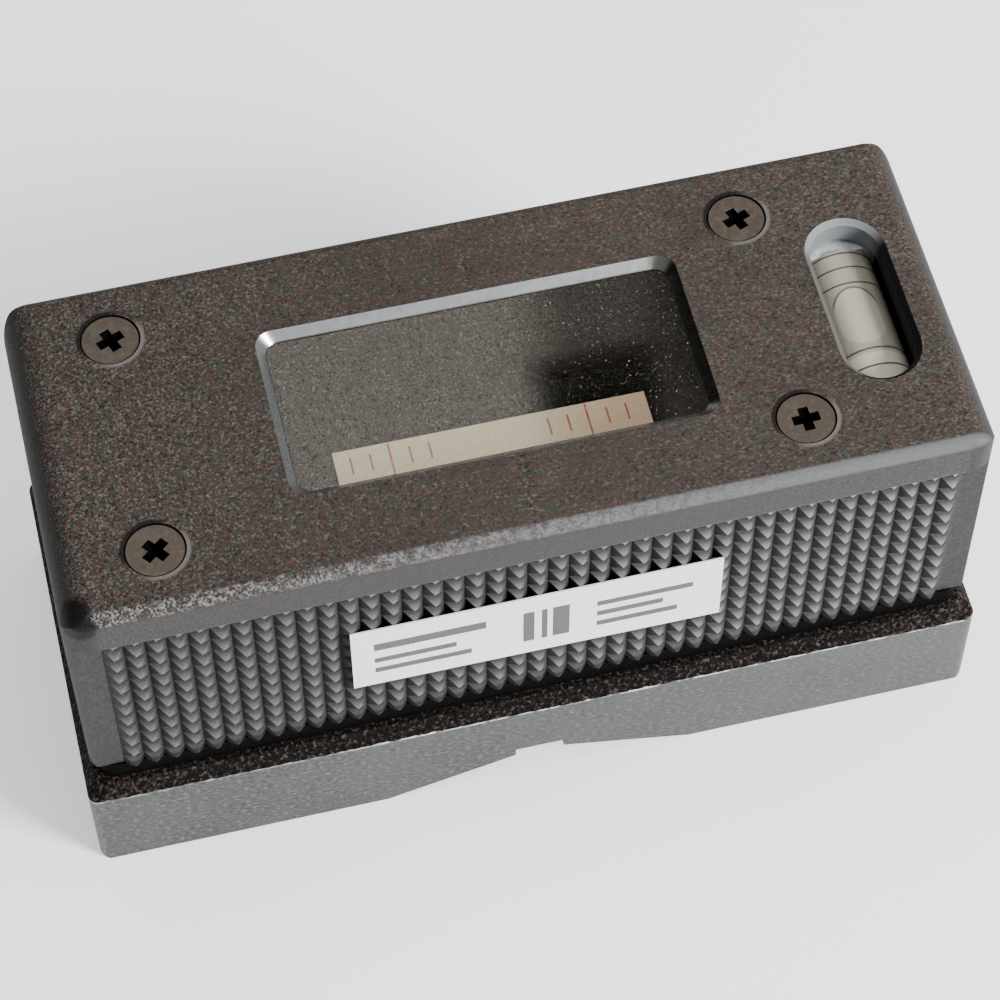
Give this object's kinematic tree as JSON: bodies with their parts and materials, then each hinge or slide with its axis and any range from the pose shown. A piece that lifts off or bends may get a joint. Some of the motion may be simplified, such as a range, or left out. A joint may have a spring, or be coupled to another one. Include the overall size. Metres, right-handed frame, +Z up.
{
  "type": "crankpin level",
  "caption": "Short block spirit level with a shallow V sole for crankpins, knurled grip cover, long window and small cross vial.",
  "frame": {"origin": "centre of the sole, in the plane that the level stands on", "axes": "+X along the level towards the cross vial, +Y across it away from the label, +Z up"},
  "size_m": [0.1, 0.0426, 0.0485],
  "materials": {
    "iron_body": "ground flanks and sole, dark rough paint on the bevel",
    "grip_plastic": "fine-grained moulded plastic",
    "clear_pane": "clear, glossy",
    "scale_cream": "cream with red graduations",
    "cradle_aluminium": "folded sheet",
    "vial_glass": "clear",
    "vial_liquid": "pale green liquid",
    "cement": "set plaster cement",
    "washer_brass": "turned",
    "plain_steel": "plain",
    "nut_brass": "plain",
    "cross_vial_body": "cream with dark rings",
    "cross_vial_plug": "cream",
    "dark_screw": "dark oxide",
    "label_white": "printed film with plain grey bars"
  },
  "bodies": {
    "root": {"adjusting_nut_lower": "nut_brass", "adjusting_nut_upper": "nut_brass", "adjusting_stud": "plain_steel", "base_casting": "iron_body", "cover_screw_back_left": "dark_screw", "cover_screw_back_right": "dark_screw", "cover_screw_front_left": "dark_screw", "cover_screw_front_right": "dark_screw", "cradle_clamp_screw": "plain_steel", "cradle_washer": "washer_brass", "cross_vial_cement": "cement", "cross_vial_liquid": "vial_liquid", "cross_vial_plug": "cross_vial_plug", "cross_vial_tube": "cross_vial_body", "grip_cover": "grip_plastic", "label": "label_white", "main_vial_cement_left": "cement", "main_vial_cement_right": "cement", "main_vial_liquid": "vial_liquid", "main_vial_tube": "vial_glass", "scale_plate": "scale_cream", "vial_cradle": "cradle_aluminium", "window_pane": "clear_pane"}
  },
  "joints": []
}
